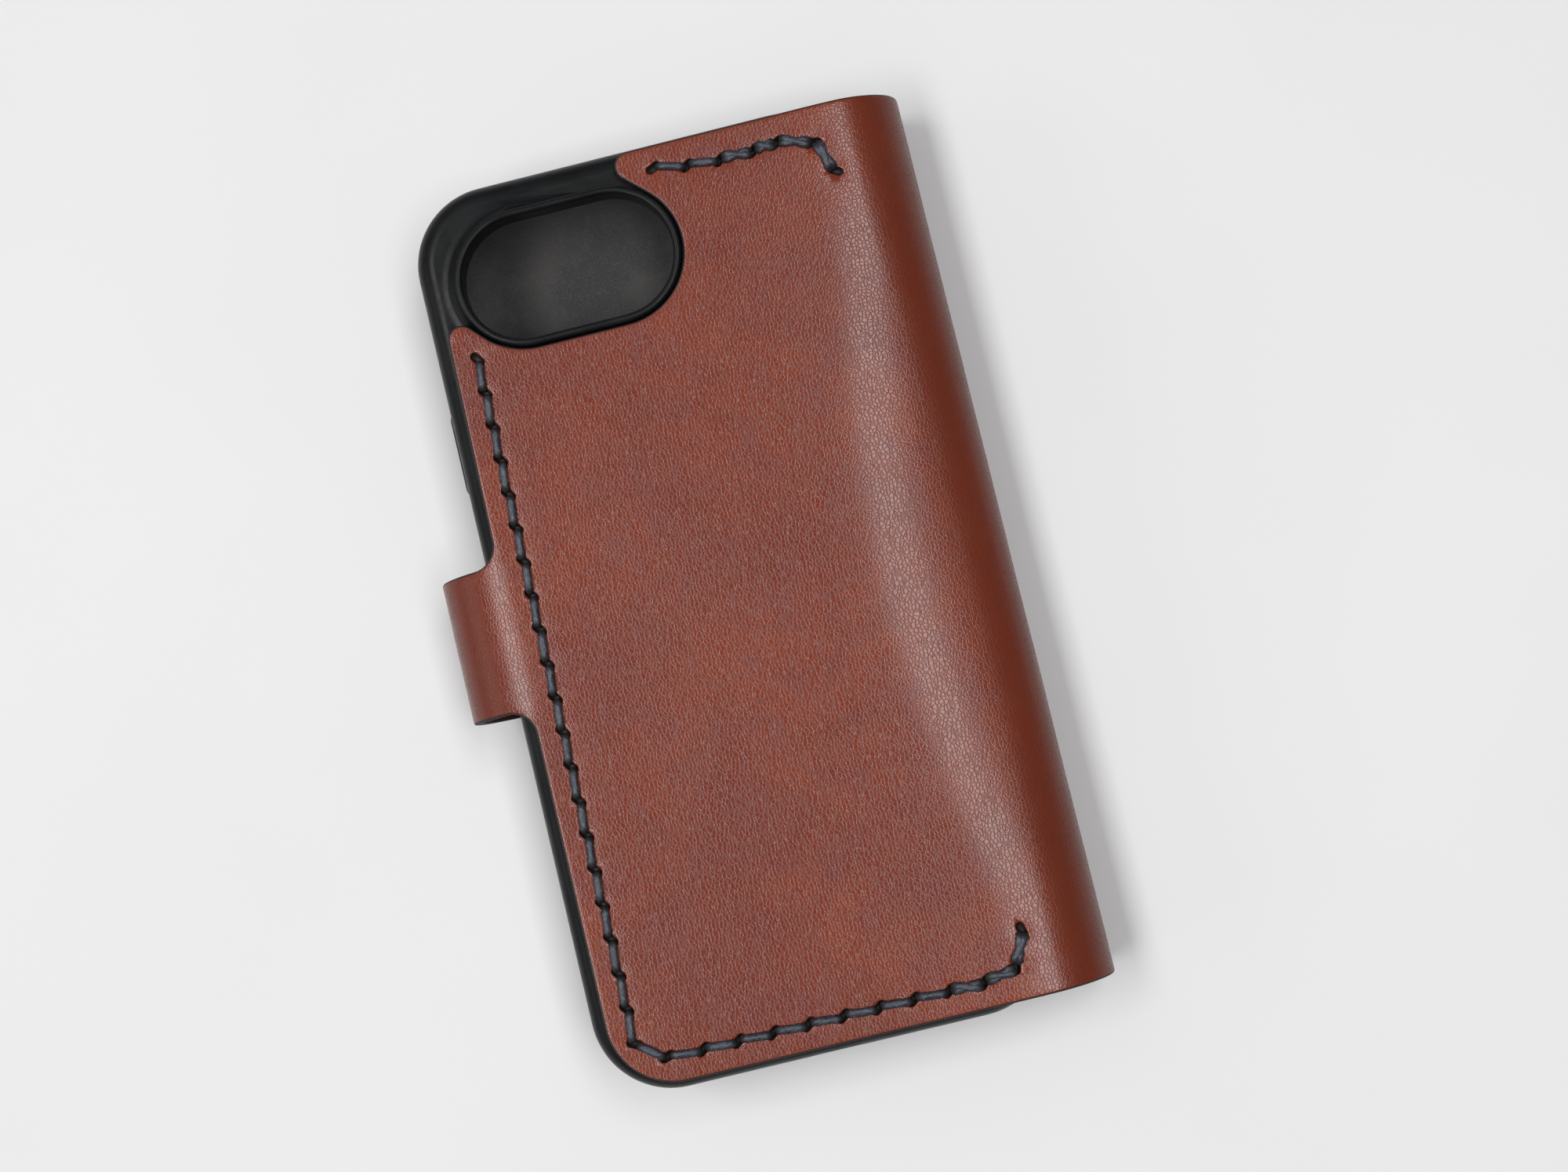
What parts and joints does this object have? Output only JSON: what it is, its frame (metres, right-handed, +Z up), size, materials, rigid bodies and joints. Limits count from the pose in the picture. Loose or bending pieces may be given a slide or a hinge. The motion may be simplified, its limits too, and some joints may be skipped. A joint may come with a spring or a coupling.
{
  "type": "phone folio case",
  "caption": "Leather folio case for a phone: soft shell sewn to a leather back, round spine, front cover with card pockets, and a tab that closes with a press stud.",
  "frame": {"origin": "centre of the object's footprint on the surface that it lies on, closed and face down", "axes": "+Z up, out of the rear leather panel; +Y towards the camera end; +X towards the spine, and -X towards the closing tab"},
  "size_m": [0.0924, 0.1504, 0.024],
  "materials": {
    "leather": "semi-gloss, waxed, reddish brown",
    "lining": "matt charcoal",
    "shell_rubber": "matt black",
    "thread": "waxed black",
    "nickel": "polished nickel"
  },
  "bodies": {
    "case_back": {"shell": "shell_rubber", "rear_panel": "leather", "rear_stitching_side": "thread", "rear_stitching_top": "thread"},
    "power_button_body": {"power_button": "shell_rubber"},
    "action_button_body": {"action_button": "shell_rubber"},
    "volume_up_button_body": {"volume_up_button": "shell_rubber"},
    "volume_down_button_body": {"volume_down_button": "shell_rubber"},
    "spine_1": {"spine_strip_1": "leather"},
    "spine_2": {"spine_strip_2": "leather"},
    "spine_3": {"spine_strip_3": "leather"},
    "cover": {"front_cover": "leather", "cover_lining": "lining", "card_pocket_1": "lining", "card_pocket_2": "lining", "card_pocket_3": "lining", "cover_stitching": "thread", "snap_stud": "nickel", "snap_post": "nickel"},
    "tab_1": {"tab_strip_1": "leather"},
    "tab_2": {"tab_strip_2": "leather"},
    "tab_tip": {"tab_end": "leather", "snap_cap": "nickel", "snap_socket": "nickel"}
  },
  "joints": [
    {"name": "cover_open", "type": "hinge", "parent": "case_back", "child": "spine_1", "pos_m": [0.03902, 0, 0.02176], "axis": [0, -1, 0], "range_deg": [0, 45], "stiffness_Nm_per_rad": 0.4},
    {"name": "spine_fold_2", "type": "hinge", "parent": "spine_1", "child": "spine_2", "pos_m": [0.04471, 0, 0.01657], "axis": [0, -1, 0], "range_deg": [0, 45], "stiffness_Nm_per_rad": 0.4},
    {"name": "spine_fold_3", "type": "hinge", "parent": "spine_2", "child": "spine_3", "pos_m": [0.04471, 0, 0.01063], "axis": [0, -1, 0], "range_deg": [0, 45], "stiffness_Nm_per_rad": 0.4},
    {"name": "spine_fold_4", "type": "hinge", "parent": "spine_3", "child": "cover", "pos_m": [0.03902, 0, 0.00544], "axis": [0, -1, 0], "range_deg": [0, 45], "stiffness_Nm_per_rad": 0.4},
    {"name": "tab_open", "type": "hinge", "parent": "case_back", "child": "tab_1", "pos_m": [-0.04003, 0.0011, 0.02133], "axis": [0, 1, 0], "range_deg": [0, 60], "stiffness_Nm_per_rad": 0.08},
    {"name": "tab_fold_2", "type": "hinge", "parent": "tab_1", "child": "tab_2", "pos_m": [-0.0453, 0.0011, 0.0121], "axis": [0, 1, 0], "range_deg": [0, 60], "stiffness_Nm_per_rad": 0.08},
    {"name": "tab_fold_3", "type": "hinge", "parent": "tab_2", "child": "tab_tip", "pos_m": [-0.04003, 0.0011, 0.00287], "axis": [0, 1, 0], "range_deg": [0, 60], "stiffness_Nm_per_rad": 0.08},
    {"name": "power_press", "type": "slide", "parent": "case_back", "child": "power_button_body", "axis": [1, 0, 0], "range_m": [0, 0.0004], "stiffness_N_per_m": 800},
    {"name": "action_press", "type": "slide", "parent": "case_back", "child": "action_button_body", "axis": [-1, 0, 0], "range_m": [0, 0.0004], "stiffness_N_per_m": 800},
    {"name": "volume_up_press", "type": "slide", "parent": "case_back", "child": "volume_up_button_body", "axis": [-1, 0, 0], "range_m": [0, 0.0004], "stiffness_N_per_m": 800},
    {"name": "volume_down_press", "type": "slide", "parent": "case_back", "child": "volume_down_button_body", "axis": [-1, 0, 0], "range_m": [0, 0.0004], "stiffness_N_per_m": 800}
  ],
  "couplings": [
    {"joint": "spine_fold_2", "follows": "cover_open", "ratio": 1},
    {"joint": "spine_fold_3", "follows": "cover_open", "ratio": 1},
    {"joint": "spine_fold_4", "follows": "cover_open", "ratio": 1},
    {"joint": "tab_fold_2", "follows": "tab_open", "ratio": 1},
    {"joint": "tab_fold_3", "follows": "tab_open", "ratio": 1}
  ]
}
